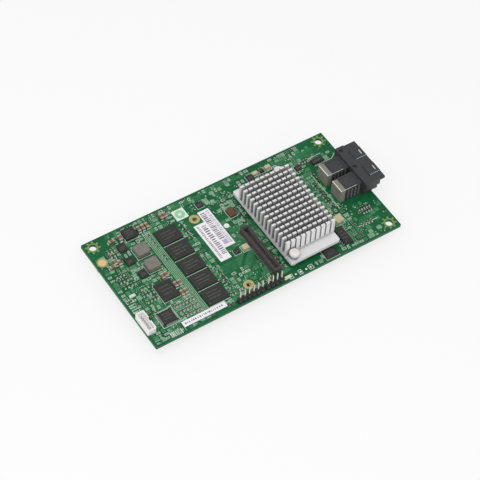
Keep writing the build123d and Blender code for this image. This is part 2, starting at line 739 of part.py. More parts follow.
def main():
    os.makedirs("parts", exist_ok=True)
    save("circuit_board", circuit_board())
    save("processor_package", processor_package())
    save("processor_die", processor_die())
    save("thermal_pad", thermal_pad())
    save("heat_sink", heat_sink())
    save("push_pins", [push_pin(x, y) for x, y in pin_places])
    save("push_pin_springs", [pin_spring(x, y) for x, y in pin_places])
    save("sas_housing", sas_housing())
    save("sas_locating_pegs", sas_pegs())
    save("sas_contact_wafers", [sas_wafer(y) for y in wafer_ys()])
    save("sas_contact_pads", sas_contact_pads())
    save("host_connector_housings", [host_housing(x, y) for x, y in host_places])
    save("host_connector_contacts", [c for x, y in host_places for c in host_contacts(x, y)])
    save("cache_slot_housing", cache_slot_housing())
    save("cache_slot_contacts", cache_slot_contacts())
    save("module_standoffs", [standoff(place, True) for place in standoff_places])
    save("blind_standoff", standoff(blind_standoff_place, False))
    save("pin_header_bases", [header_base(first, count) for first, count in header_groups])
    save("pin_header_pins", [square_pin(x, header_y, header_pin_side, -header_tail, header_pin_height,
                                        header_pin_tip) for x in header_place_x])
    save("power_header_shroud", wafer_housing())
    save("power_header_pins", [square_pin(wafer_x, y, wafer_pin_side, -wafer_tail, wafer_pin_height,
                                          wafer_pin_tip)
                               for y in wafer_pin_ys])
    save("memory_chips", [memory_chip(i) for i in range(memory_count)])
    save("memory_chips_underside", [memory_chip(i, True) for i in range(under_memory_count)])
    save("flash_chip", chip_body(*flash_place, *flash_size, memory_thickness, ball_gap))
    save("solder_fields", solder_fields())
    save("quad_chip", chip_body(*quad_place, quad_side, quad_side, quad_height, lead_gap))
    save("quad_chip_leads", quad_chip_leads())
    save("power_inductors", [inductor(x, y) for x, y in inductor_places])
    save("inductor_feet", [foot for x, y in inductor_places for foot in inductor_feet(x, y)])
    save("power_chips", [chip_body(*chip, power_chip_height) for chip in power_chips])
    save("driver_chip", chip_body(*driver_place, driver_side, driver_side, driver_height))
    save("long_chips", [chip_body(*chip, long_chip_height, lead_gap) for chip in long_chips])
    save("long_chip_leads", [lead for chip in long_chips for lead in long_chip_leads(*chip)])
    save("flat_chips", [chip_body(*chip, flat_chip_height) for chip in flat_chips])
    save("oscillator", chip_body(*oscillator_place, *oscillator_size, oscillator_height))
    save("tantalum_capacitors", [tantalum(*data) for data in tantalums])
    save("tantalum_tabs", [tab for data in tantalums for tab in tantalum_tabs(*data)])
    save("ceramic_capacitors", [two_ended(x, y, ceramic_size, along) for x, y, along in ceramics])
    save("chip_resistors", small_chips(resistor_rows))
    save("chip_capacitors", small_chips(capacitor_rows))
    save("status_lights", [status_light(x, y) for x, y in lights])
    save("barcode_labels", [label(*data) for data in barcode_labels])
    save("strip_label", label(*strip_label))
    save("square_sticker", label(*square_sticker))


main()
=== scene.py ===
"""Looks for the RAID controller card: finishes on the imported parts, board artwork, solder and print."""

import math
import random

import bmesh
import bpy
from mathutils import Matrix, Vector


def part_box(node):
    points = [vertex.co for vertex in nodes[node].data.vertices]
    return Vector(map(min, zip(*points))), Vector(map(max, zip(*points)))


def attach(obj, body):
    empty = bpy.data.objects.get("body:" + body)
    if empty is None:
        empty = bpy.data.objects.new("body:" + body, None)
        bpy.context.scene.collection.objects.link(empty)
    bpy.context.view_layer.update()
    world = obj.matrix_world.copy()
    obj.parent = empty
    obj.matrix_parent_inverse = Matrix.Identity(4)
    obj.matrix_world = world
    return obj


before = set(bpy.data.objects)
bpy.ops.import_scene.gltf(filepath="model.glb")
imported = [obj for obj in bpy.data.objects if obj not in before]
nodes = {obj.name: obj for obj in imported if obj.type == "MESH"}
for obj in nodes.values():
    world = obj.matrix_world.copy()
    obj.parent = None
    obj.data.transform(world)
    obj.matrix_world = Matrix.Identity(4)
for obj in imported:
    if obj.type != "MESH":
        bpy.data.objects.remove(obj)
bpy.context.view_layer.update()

# Lengths are millimetres from the middle of the board, heights are from its top face
MM = 0.001
board_low, board_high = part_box("circuit_board")
board_mid = (board_low.x + board_high.x) / 2
board_thick = (board_high.z - board_low.z) / MM
half_x = (board_high.x - board_low.x) / MM / 2
half_y = (board_high.y - board_low.y) / MM / 2

# Camera of the photograph, solved from the board's edges
camera_place = (-340.785, -452.251, 723.507)
camera_right = (0.835608, -0.547048, 0.049986)
camera_down = (-0.407148, -0.677849, -0.612169)
camera_forward = (0.368769, 0.491182, -0.789145)
camera_sensor = 36.0
camera_lens = 140.93

# Heights of what is printed or laid on the board
mask_height = 0.035
pad_height = 0.05
via_height = 0.055
silk_height = 0.07
print_height = 0.02
# Painted shade in the heat sink: how far it reaches between the fins, and its dark colour
painted_shade_reach = 4.0
painted_shade_color = (0.20, 0.20, 0.20)

seed = 41
draw = random.Random(seed)


def row_point(x, y, z):
    """A place over the board, in metres, in the row's frame."""
    return Vector((board_mid + x * MM, y * MM, board_high.z + z * MM))


def board_place(point):
    """The other way round: board millimetres of a point in the row's frame."""
    return (point.x - board_mid) / MM, point.y / MM, (point.z - board_high.z) / MM


class Shape:
    """Collects simple closed forms, and makes one piece of them."""

    def __init__(self, side=1):
        self.points = []
        self.faces = []
        self.side = side

    def height(self, z):
        return z if self.side > 0 else -board_thick - z

    def prism(self, outline, low, high):
        """A flat outline, counter-clockwise, drawn up from low to high."""
        count = len(outline)
        start = len(self.points)
        low, high = self.height(low), self.height(high)
        self.points += [row_point(x, y, low) for x, y in outline]
        self.points += [row_point(x, y, high) for x, y in outline]
        rim = list(range(start + count, start + 2 * count))
        base = list(range(start, start + count))
        sides = [(base[i], base[(i + 1) % count], rim[(i + 1) % count], rim[i]) for i in range(count)]
        faces = [tuple(rim), tuple(reversed(base))] + sides
        self.faces += faces if self.side > 0 else [tuple(reversed(face)) for face in faces]

    def plate(self, x0, x1, y0, y1, low, high):
        self.prism([(x0, y0), (x1, y0), (x1, y1), (x0, y1)], low, high)

    def disc(self, x, y, radius, low, high, corners=10):
        turns = [2 * math.pi * (i + 0.5) / corners for i in range(corners)]
        self.prism([(x + radius * math.cos(t), y + radius * math.sin(t)) for t in turns], low, high)

    def ring(self, x, y, inner, outer, low, high, corners=12):
        """A flat ring, as short straight pieces."""
        for i in range(corners):
            a, b = 2 * math.pi * i / corners, 2 * math.pi * (i + 1) / corners
            self.prism([(x + inner * math.cos(a), y + inner * math.sin(a)),
                        (x + outer * math.cos(a), y + outer * math.sin(a)),
                        (x + outer * math.cos(b), y + outer * math.sin(b)),
                        (x + inner * math.cos(b), y + inner * math.sin(b))], low, high)

    def ribbon(self, route, width, low, high):
        """A flat strip of even width along a route, mitred at its bends."""
        left, right = [], []
        for i, (x, y) in enumerate(route):
            before = route[max(i - 1, 0)]
            after = route[min(i + 1, len(route) - 1)]
            a = Vector((x - before[0], y - before[1]))
            b = Vector((after[0] - x, after[1] - y))
            a = a.normalized() if a.length > 0 else b.normalized()
            b = b.normalized() if b.length > 0 else a
            along = (a + b).normalized()
            reach = width / 2 / max(0.4, along.dot(a))
            left.append((x - along.y * reach, y + along.x * reach))
            right.append((x + along.y * reach, y - along.x * reach))
        for i in range(len(route) - 1):
            self.prism([right[i], right[i + 1], left[i + 1], left[i]], low, high)

    def outline(self, x0, x1, y0, y1, width, low, high):
        """A rectangular frame line."""
        self.plate(x0, x1, y0, y0 + width, low, high)
        self.plate(x0, x1, y1 - width, y1, low, high)
        self.plate(x0, x0 + width, y0 + width, y1 - width, low, high)
        self.plate(x1 - width, x1, y0 + width, y1 - width, low, high)

    def make(self, name, material, slot):
        mesh = bpy.data.meshes.new(name)
        mesh.from_pydata(self.points, [], self.faces)
        mesh.materials.append(material)
        mesh.update()
        piece = bpy.data.objects.new(name, mesh)
        bpy.context.scene.collection.objects.link(piece)
        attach(piece, "root")
        return piece


def solids_of(node):
    """Each separate solid of a CAD node, as its box in board millimetres."""
    shape = bmesh.new()
    shape.from_mesh(nodes[node].data)
    bmesh.ops.remove_doubles(shape, verts=shape.verts, dist=1e-7)
    seen, boxes = set(), []
    for vertex in shape.verts:
        if vertex in seen:
            continue
        group, queue = [], [vertex]
        seen.add(vertex)
        while queue:
            at = queue.pop()
            group.append(board_place(at.co))
            for edge in at.link_edges:
                other = edge.other_vert(at)
                if other not in seen:
                    seen.add(other)
                    queue.append(other)
        low = [min(p[k] for p in group) for k in range(3)]
        high = [max(p[k] for p in group) for k in range(3)]
        boxes.append((*low, *high))
    shape.free()
    return boxes


# Materials


def new_material(name, color, roughness, metallic=0.0, specular=0.5):
    material = bpy.data.materials.new(name)
    material.use_nodes = True
    shader = material.node_tree.nodes["Principled BSDF"]
    shader.inputs["Base Color"].default_value = (*color, 1)
    shader.inputs["Roughness"].default_value = roughness
    shader.inputs["Metallic"].default_value = metallic
    shader.inputs["Specular IOR Level"].default_value = specular
    return material


def add(material, kind, **values):
    node = material.node_tree.nodes.new(kind)
    for key, value in values.items():
        if hasattr(node, key):
            setattr(node, key, value)
        else:
            node.inputs[key.replace("_", " ")].default_value = value
    return node


def link(material, source, target):
    material.node_tree.links.new(source, target)


def place_of(material, stretch=(1, 1, 1)):
    """Object coordinates in millimetres, stretched where the pattern has a direction."""
    coordinates = add(material, "ShaderNodeTexCoord")
    mapping = add(material, "ShaderNodeMapping")
    mapping.inputs["Scale"].default_value = [s / MM for s in stretch]
    link(material, coordinates.outputs["Object"], mapping.inputs["Vector"])
    return mapping.outputs["Vector"]


def mottle(material, colors, scale, detail=4.0, stretch=(1, 1, 1), sharp=0.5):
    """Colour that wanders between the given ones, over patches of 1 / scale millimetres."""
    noise = add(material, "ShaderNodeTexNoise", Scale=scale, Detail=detail, Roughness=0.6)
    link(material, place_of(material, stretch), noise.inputs["Vector"])
    ramp = add(material, "ShaderNodeValToRGB")
    points = ramp.color_ramp.elements
    spread = 0.5 * (1 - sharp)
    points[0].position, points[1].position = 0.5 - spread, 0.5 + spread
    points[0].color, points[1].color = (*colors[0], 1), (*colors[-1], 1)
    if len(colors) == 3:
        middle = points.new(0.5)
        middle.color = (*colors[1], 1)
    link(material, noise.outputs["Fac"], ramp.inputs["Fac"])
    shader = material.node_tree.nodes["Principled BSDF"]
    link(material, ramp.outputs["Color"], shader.inputs["Base Color"])
    return ramp


def rough_bump(material, scale, strength, distance, roughness=None, stretch=(1, 1, 1)):
    """Fine relief, with roughness that follows it when a range is given."""
    noise = add(material, "ShaderNodeTexNoise", Scale=scale, Detail=3.0, Roughness=0.55)
    link(material, place_of(material, stretch), noise.inputs["Vector"])
    bump = add(material, "ShaderNodeBump", Strength=strength, Distance=distance * MM)
    link(material, noise.outputs["Fac"], bump.inputs["Height"])
    shader = material.node_tree.nodes["Principled BSDF"]
    link(material, bump.outputs["Normal"], shader.inputs["Normal"])
    if roughness:
        spread = add(material, "ShaderNodeMapRange")
        spread.inputs["To Min"].default_value, spread.inputs["To Max"].default_value = roughness
        link(material, noise.outputs["Fac"], spread.inputs["Value"])
        link(material, spread.outputs["Result"], shader.inputs["Roughness"])


def mask_material(name, colors, scale, sharp):
    """Green solder mask, over bare laminate or over copper that makes it paler."""
    material = new_material(name, colors[0], 0.4, 0.0, 0.22)
    mottle(material, colors, scale, 5.0, sharp=sharp)
    rough_bump(material, 4.0, 0.2, 0.04, (0.3, 0.48))
    return material


def silk_material():
    material = new_material("silk_print", (0.62, 0.76, 0.64), 0.6)
    mottle(material, [(0.50, 0.64, 0.52), (0.82, 0.88, 0.82)], 1.6, 5.0, sharp=0.4)
    rough_bump(material, 9.0, 0.3, 0.02)
    return material


def plain_metal(name, color, low, high, grain=(1, 1, 1), scale=2.5):
    """Metal with a soft satin grain."""
    material = new_material(name, color, (low + high) / 2, 1.0)
    darker = tuple(c * 0.82 for c in color)
    mottle(material, [darker, color], scale * 0.4, 4.0, grain, 0.2)
    rough_bump(material, scale, 0.2, 0.03, (low, high), grain)
    return material


def moulded(name, color, low, high, scale=3.0, lift=0.25):
    """Moulded plastic or compound with a fine matt grain."""
    material = new_material(name, color, (low + high) / 2, 0.0, 0.4)
    darker = tuple(c * (1 - lift) for c in color)
    lighter = tuple(c * (1 + lift) for c in color)
    mottle(material, [darker, lighter], scale * 0.25, 5.0, sharp=0.1)
    rough_bump(material, scale * 2, 0.35, 0.03, (low, high))
    return material


def sink_material():
    """Blasted aluminium, brushed along the fin rows, with painted shade that darkens it in between the fins.
    """
    material = new_material("sink_metal_painted_shade", (0.86, 0.86, 0.86), 0.5, 0.25)
    ramp = mottle(material, [(0.74, 0.735, 0.74), (0.93, 0.925, 0.93)], 0.8, 4.0, (6, 1, 1), 0.2)
    rough_bump(material, 4.0, 0.3, 0.03, (0.38, 0.6), (8, 1, 1))
    # Painted shade: the colour goes over to a dark grey where other surfaces lie close, as between the fins
    crevice = add(material, "ShaderNodeAmbientOcclusion", samples=8)
    crevice.inputs["Distance"].default_value = painted_shade_reach * MM
    depth = add(material, "ShaderNodeMapRange")
    depth.inputs["From Min"].default_value, depth.inputs["From Max"].default_value = 0.25, 0.75
    link(material, crevice.outputs["AO"], depth.inputs["Value"])
    blend = add(material, "ShaderNodeMix", data_type="RGBA")
    blend.inputs["A"].default_value = (*painted_shade_color, 1)
    link(material, depth.outputs["Result"], blend.inputs["Factor"])
    link(material, ramp.outputs["Color"], blend.inputs["B"])
    shader = material.node_tree.nodes["Principled BSDF"]
    link(material, blend.outputs["Result"], shader.inputs["Base Color"])
    return material


def nylon_material(name, color):
    """White nylon, which lets some light through its thin walls."""
    material = moulded(name, color, 0.45, 0.6, 2.0, 0.05)
    shader = material.node_tree.nodes["Principled BSDF"]
    shader.inputs["Subsurface Weight"].default_value = 0.5
    shader.inputs["Subsurface Radius"].default_value = (1.0, 1.0, 1.0)
    shader.inputs["Subsurface Scale"].default_value = 0.8 * MM
    return material


def paper(name, low, high):
    material = new_material(name, high, 0.65)
    mottle(material, [low, high], 0.7, 4.0, sharp=0.2)
    rough_bump(material, 6.0, 0.3, 0.02)
    return material


finishes = {
    "board": mask_material("solder_mask", [(0.003, 0.072, 0.024), (0.007, 0.115, 0.038),
                                           (0.014, 0.160, 0.058)], 0.25, 0.3),
    "trace": mask_material("mask_over_copper", [(0.030, 0.190, 0.075), (0.080, 0.300, 0.135)], 0.5, 0.3),
    "pale_trace": mask_material("mask_over_tracks", [(0.30, 0.48, 0.33), (0.50, 0.66, 0.52)], 0.6, 0.3),
    "field": mask_material("mask_over_field", [(0.010, 0.130, 0.045), (0.030, 0.200, 0.072)], 0.35, 0.3),
    "halo": mask_material("mask_round_holes", [(0.10, 0.26, 0.07), (0.20, 0.38, 0.13)], 0.6, 0.3),
    "silk": silk_material(),
    "white_silk": paper("white_print", (0.80, 0.84, 0.80), (0.92, 0.94, 0.92)),
    "gold": plain_metal("gold_plate", (0.80, 0.60, 0.27), 0.25, 0.42),
    "pin": plain_metal("pin_plate", (0.80, 0.76, 0.66), 0.25, 0.42),
    "corner": plain_metal("corner_via_plate", (0.42, 0.50, 0.20), 0.35, 0.55),
    "rim": plain_metal("closed_standoff_rim", (0.50, 0.60, 0.24), 0.35, 0.5),
    "tin": plain_metal("tin_plate", (0.78, 0.78, 0.76), 0.3, 0.5),
    "cap": plain_metal("chip_end", (0.62, 0.62, 0.54), 0.35, 0.55),
    "pad": plain_metal("bare_pad", (0.56, 0.62, 0.52), 0.35, 0.55),
    "small_ceramic": moulded("fine_ceramic", (0.105, 0.085, 0.055), 0.4, 0.6, 2.5, 0.3),
    "solder": plain_metal("solder_joint", (0.72, 0.73, 0.74), 0.25, 0.45),
    "steel": plain_metal("spring_wire", (0.62, 0.62, 0.63), 0.22, 0.38),
    "brass": plain_metal("standoff_plate", (0.70, 0.66, 0.34), 0.32, 0.5),
    "thread": plain_metal("thread_shadow", (0.78, 0.44, 0.12), 0.5, 0.7),
    "peach": moulded("standoff_face", (0.80, 0.53, 0.29), 0.4, 0.6, 3.0, 0.12),
    "sink": sink_material(),
    "chip": moulded("chip_compound", (0.030, 0.032, 0.028), 0.5, 0.7),
    "chip_mark": moulded("chip_marking", (0.115, 0.110, 0.104), 0.5, 0.7),
    "connector": moulded("connector_moulding", (0.044, 0.045, 0.048), 0.42, 0.6, 2.0, 0.35),
    "edge": moulded("moulding_edge", (0.17, 0.17, 0.17), 0.4, 0.6),
    # Painted highlight: a pale finish for thin strips along the sockets' edges and in their slots
    "bright_edge": moulded("painted_highlight_edge", (0.78, 0.77, 0.73), 0.35, 0.5),
    "groove": moulded("moulding_groove", (0.014, 0.014, 0.015), 0.5, 0.7),
    "wafer": moulded("wafer_moulding", (0.280, 0.275, 0.225), 0.45, 0.62),
    "header": moulded("header_moulding", (0.022, 0.022, 0.022), 0.4, 0.6),
    "slot": moulded("slot_moulding", (0.070, 0.060, 0.058), 0.42, 0.6),
    "nylon": nylon_material("header_nylon", (0.89, 0.88, 0.85)),
    "pin_nylon": nylon_material("push_pin_nylon", (0.78, 0.77, 0.76)),
    "cavity": moulded("nylon_floor", (0.90, 0.86, 0.84), 0.5, 0.65, 2.0, 0.08),
    "inductor": moulded("pressed_powder", (0.205, 0.198, 0.165), 0.55, 0.75, 2.2, 0.3),
    "ceramic": moulded("brown_ceramic", (0.235, 0.125, 0.070), 0.4, 0.6, 2.5, 0.3),
    "resistor": moulded("black_glaze", (0.020, 0.020, 0.022), 0.25, 0.4),
    "tantalum": moulded("beige_moulding", (0.60, 0.55, 0.36), 0.5, 0.7, 2.5, 0.22),
    "can": moulded("oscillator_lid", (0.135, 0.060, 0.035), 0.35, 0.55),
    "substrate": moulded("package_laminate", (0.03, 0.12, 0.05), 0.4, 0.6),
    "silicon": moulded("silicon_back", (0.06, 0.06, 0.07), 0.1, 0.2),
    "gap_pad": moulded("gap_pad", (0.32, 0.33, 0.35), 0.7, 0.9),
    "lens": moulded("light_lens", (0.70, 0.74, 0.62), 0.15, 0.3, 2.0, 0.08),
    "label": paper("label_paper", (0.87, 0.85, 0.88), (0.94, 0.93, 0.95)),
    "sticker": paper("sticker_paper", (0.66, 0.84, 0.67), (0.80, 0.92, 0.79)),
    "green_ink": paper("sticker_field", (0.30, 0.56, 0.35), (0.44, 0.70, 0.48)),
    "ink": paper("label_ink", (0.10, 0.09, 0.12), (0.20, 0.18, 0.23)),
    "pale_ink": paper("label_pale_ink", (0.42, 0.36, 0.52), (0.56, 0.50, 0.64)),
    "fine_ink": paper("label_fine_ink", (0.16, 0.15, 0.18), (0.30, 0.28, 0.33)),
    "ring_ink": paper("sticker_ink", (0.25, 0.55, 0.33), (0.36, 0.66, 0.43)),
}

node_finish = {
    "circuit_board": "board", "processor_package": "substrate", "processor_die": "silicon",
    "thermal_pad": "gap_pad", "heat_sink": "sink", "push_pins": "pin_nylon", "push_pin_springs": "steel",
    "sas_housing": "connector", "sas_locating_pegs": "connector", "sas_contact_wafers": "wafer",
    "sas_contact_pads": "gold", "host_connector_housings": "connector", "host_connector_contacts": "gold",
    "cache_slot_housing": "slot", "cache_slot_contacts": "tin", "module_standoffs": "brass",
    "blind_standoff": "rim", "pin_header_bases": "header", "pin_header_pins": "pin",
    "power_header_shroud": "nylon", "power_header_pins": "tin", "memory_chips": "chip",
    "memory_chips_underside": "chip", "flash_chip": "chip", "solder_fields": "solder", "quad_chip": "chip",
    "quad_chip_leads": "tin", "power_inductors": "inductor", "inductor_feet": "tin", "power_chips": "chip",
    "driver_chip": "chip", "long_chips": "chip", "long_chip_leads": "tin", "flat_chips": "chip",
    "oscillator": "can", "tantalum_capacitors": "tantalum", "tantalum_tabs": "tin",
    "ceramic_capacitors": "ceramic", "chip_resistors": "resistor", "chip_capacitors": "small_ceramic",
    "status_lights": "lens", "barcode_labels": "label", "strip_label": "label", "square_sticker": "sticker",
}


def finish_nodes():
    """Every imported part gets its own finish."""
    for name, node in nodes.items():
        node.data.materials.clear()
        node.data.materials.append(finishes[node_finish[name]])


# Rounded edges catch the light on the larger parts: node, width in millimetres
eased_edges = {
    "heat_sink": 0.12, "sas_housing": 0.14, "sas_contact_wafers": 0.06, "cache_slot_housing": 0.1,
    "memory_chips": 0.05, "quad_chip": 0.05, "flash_chip": 0.05, "power_inductors": 0.12,
    "power_header_shroud": 0.1, "pin_header_bases": 0.08, "processor_package": 0.06,
    "driver_chip": 0.06, "power_chips": 0.05, "long_chips": 0.05, "oscillator": 0.05,
    "tantalum_capacitors": 0.06, "ceramic_capacitors": 0.05, "host_connector_housings": 0.1,
    "circuit_board": 0.06,
}


def ease_edges():
    for name, width in eased_edges.items():
        bevel = nodes[name].modifiers.new("eased", "BEVEL")
        bevel.width = width * MM
        bevel.segments = 2
        bevel.limit_method = "ANGLE"
        bevel.angle_limit = math.radians(50)
        bevel.harden_normals = False


# What stands on the board, so that print and traces keep out of its way
no_obstacle = ("circuit_board", "heat_sink", "push_pins", "push_pin_springs", "processor_package",
               "processor_die", "thermal_pad")
standing = [box for name in nodes if name not in no_obstacle for box in solids_of(name)]
top_boxes = [box for box in standing if -0.2 < box[2] < 0.6]
under_boxes = [box for box in standing if -board_thick - 0.6 < box[5] < -board_thick + 0.2]
hole_places = [(-66.5, 30.8), (66.5, 30.8), (66.5, -30.8)]


def is_free(x, y, margin, side=1):
    if abs(x) > half_x - 0.8 - margin or abs(y) > half_y - 0.8 - margin:
        return False
    if any(math.hypot(x - hx, y - hy) < 4.3 + margin for hx, hy in hole_places):
        return False
    boxes = top_boxes if side > 0 else under_boxes
    return not any(b[0] - margin < x < b[3] + margin and b[1] - margin < y < b[4] + margin for b in boxes)


def two_ended_parts(node):
    """Boxes of a node's small two-ended chips, with the axis of their length."""
    for box in solids_of(node):
        size_x, size_y = box[3] - box[0], box[4] - box[1]
        yield box, size_x > size_y


cap_share = 0.24
cap_proud = 0.025
fillet_reach = 0.35
fillet_height = 0.22


def chip_ends():
    """Tin caps on the ends of the small chips, and the solder at their feet."""
    caps, joints = Shape(), Shape()
    for node in ("chip_resistors", "chip_capacitors", "ceramic_capacitors"):
        for (x0, y0, z0, x1, y1, z1), along_x in two_ended_parts(node):
            length = (x1 - x0) if along_x else (y1 - y0)
            cap = length * cap_share
            p = cap_proud
            for end in (-1, 1):
                if along_x:
                    inner = x0 + cap if end < 0 else x1 - cap
                    outer = x0 - p if end < 0 else x1 + p
                    area = (min(inner, outer), max(inner, outer), y0 - p, y1 + p)
                    foot = (outer + min(0, end) * fillet_reach, outer + max(0, end) * fillet_reach, y0, y1)
                else:
                    inner = y0 + cap if end < 0 else y1 - cap
                    outer = y0 - p if end < 0 else y1 + p
                    area = (x0 - p, x1 + p, min(inner, outer), max(inner, outer))
                    foot = (x0, x1, outer + min(0, end) * fillet_reach, outer + max(0, end) * fillet_reach)
                caps.plate(*area, pad_height, z1 + p)
                wedge(joints, foot, end, along_x, min(fillet_height, z1 * 0.5))
    caps.make("chip_end_caps", finishes["cap"], "contact_tin")
    joints.make("chip_solder_joints", finishes["solder"], "solder_grey")


def wedge(shape, foot, end, along_x, height):
    """A small sloping solder foot that falls away from the chip."""
    x0, x1, y0, y1 = foot
    start = len(shape.points)
    low, high = 0.0, height
    if along_x:
        near, far = (x0, x1) if end > 0 else (x1, x0)
        corners = [(near, y0, low), (near, y1, low), (far, y1, low), (far, y0, low),
                   (near, y0, high), (near, y1, high)]
    else:
        near, far = (y0, y1) if end > 0 else (y1, y0)
        corners = [(x0, near, low), (x1, near, low), (x1, far, low), (x0, far, low),
                   (x0, near, high), (x1, near, high)]
    shape.points += [row_point(*corner) for corner in corners]
    faces = [(0, 1, 2, 3), (0, 4, 5, 1), (4, 3, 2, 5), (0, 3, 4), (1, 5, 2)]
    flip = (end > 0) != along_x
    shape.faces += [tuple(start + i for i in (reversed(face) if flip else face)) for face in faces]


trace_width = 0.2


def bent_route(x0, y0, x1, y1):
    """Straight, then at 45 degrees, then straight, as a board's traces run."""
    dx, dy = x1 - x0, y1 - y0
    run = min(abs(dx), abs(dy))
    if abs(dx) >= abs(dy):
        lead = (abs(dx) - run) / 2 * math.copysign(1, dx)
        return [(x0, y0), (x0 + lead, y0), (x1 - lead, y1), (x1, y1)]
    lead = (abs(dy) - run) / 2 * math.copysign(1, dy)
    return [(x0, y0), (x0, y0 + lead), (x1, y1 - lead), (x1, y1)]


def bundle(shape, x0, y0, x1, y1, count, pitch0, pitch1, across="y", width=trace_width):
    """Side by side traces between two rows of pads, with their own pitch at each end."""
    for i in range(count):
        step = i - (count - 1) / 2
        if across == "y":
            route = bent_route(x0, y0 + step * pitch0, x1, y1 + step * pitch1)
        else:
            route = bent_route(x0 + step * pitch0, y0, x1 + step * pitch1, y1)
        shape.ribbon(route, width, 0.0, mask_height)


def board_traces():
    """Main groups of traces on the component side."""
    copper, stripes = Shape(), Shape()
    # Field of tracks between the flash chip and the memory
    for i in range(11):
        y = -27.6 + 1.05 * i
        bend = -45.2 + 0.3 * (i % 3)
        route = [(-52.4, y), (bend, y), (bend + 0.8, y + 0.8), (-38.6, y + 0.8)]
        stripes.ribbon(route, 0.17, 0.0, mask_height)
    for i in range(5):
        x = -50.6 + 2.6 * i
        stripes.ribbon([(x, -28.4), (x, -16.6)], 0.18, 0.0, mask_height)
    # Memory bus, from each memory chip to the processor
    for i in range(5):
        y = -23.5 + 10.4 * i
        bundle(copper, -25.2, y, 10.0, -9.5 + 3.3 * i, 9, 0.62, 0.34)
    # Stripes along the left of the memory
    bundle(stripes, -39.9, -29.5, -39.9, 24.5, 6, 0.8, 0.8, "x", 0.27)
    # Pairs from the processor to the storage sockets
    bundle(copper, 36.0, 5.0, 53.0, 8.0, 8, 0.9, 0.95)
    bundle(copper, 36.0, -8.0, 53.0, -4.0, 8, 0.9, 0.95)
    # Fan-out of the quad chip
    bundle(copper, -57.4, -18.2, -58.0, -9.0, 11, 0.5, 0.85, "x")
    bundle(copper, -57.4, -27.8, -58.5, -34.0, 11, 0.5, 0.8, "x")
    bundle(copper, -52.6, -23.0, -43.0, -22.0, 11, 0.5, 0.75)
    bundle(copper, -62.2, -23.0, -66.0, -24.0, 9, 0.5, 0.8)
    # Header pins to the rest of the board
    bundle(copper, -16.8, -31.7, -10.0, -16.0, 6, 2.54, 0.8, "x")
    bundle(copper, -3.4, -31.7, -4.2, -12.0, 4, 2.54, 1.0, "x")
    # Long runs near the far edge
    bundle(copper, -34.0, 31.5, 24.0, 32.6, 6, 0.5, 0.5)
    bundle(copper, 38.0, 29.0, 60.0, 26.5, 7, 0.5, 0.55)
    bundle(copper, 44.0, -28.0, 62.0, -22.4, 5, 0.6, 0.6)
    # Left-hand power area
    bundle(copper, -60.0, 12.0, -51.5, 11.0, 7, 0.6, 0.5)
    bundle(copper, -69.0, 6.0, -69.0, -12.0, 3, 0.7, 0.7, "x")
    copper.make("main_traces", finishes["trace"], "board_green")
    stripes.make("pale_traces", finishes["pale_trace"], "board_green")


# Zones of each face: x from, x to, y from, y to, and how busy the artwork is there
top_zones = [
    (-70.0, -59.0, -34.2, 24.0, "busy"), (-59.0, -42.5, -29.0, 34.0, "busy"),
    (-59.0, -18.0, -34.2, -29.0, "busy"), (-42.5, -37.5, 24.0, 34.2, "busy"),
    (-37.5, -18.5, 23.5, 34.2, "busy"), (-25.0, -20.0, -29.0, 23.0, "busy"),
    (-20.0, -1.0, -31.0, -16.0, "middling"), (-11.0, 0.0, -9.0, 34.0, "plain"),
    (-18.5, 0.0, 24.0, 34.0, "plain"), (0.0, 9.0, -30.0, 22.0, "busy"),
    (0.0, 37.0, 22.5, 34.2, "middling"), (20.5, 37.0, -34.2, -29.9, "middling"),
    (37.0, 52.0, -34.2, 34.2, "busy"), (52.0, 70.0, -34.2, -9.5, "plain"),
    (52.0, 70.0, 13.5, 34.2, "plain"),
]
under_zones = [(-70.0, 70.0, -34.2, 34.2, "plain"), (-40.0, -6.0, -34.0, 34.0, "middling")]
cell_size = 2.45
cell_jitter = 0.35
motif_shares = {
    "busy": {"tracks": 14, "place": 6, "grid": 5, "comb": 5, "chips": 3, "dots": 2, "bare": 0},
    "middling": {"tracks": 4, "place": 4, "grid": 1, "comb": 1, "chips": 1, "dots": 3, "bare": 5},
    "plain": {"tracks": 3, "place": 1, "grid": 0, "comb": 0, "chips": 0, "dots": 3, "bare": 9},
}
track_line = 0.25
under_height = 0.018
track_pitch = 0.55
place_line = 0.19
fine_chip = (1.0, 0.5, 0.38)
fine_cap = 0.26


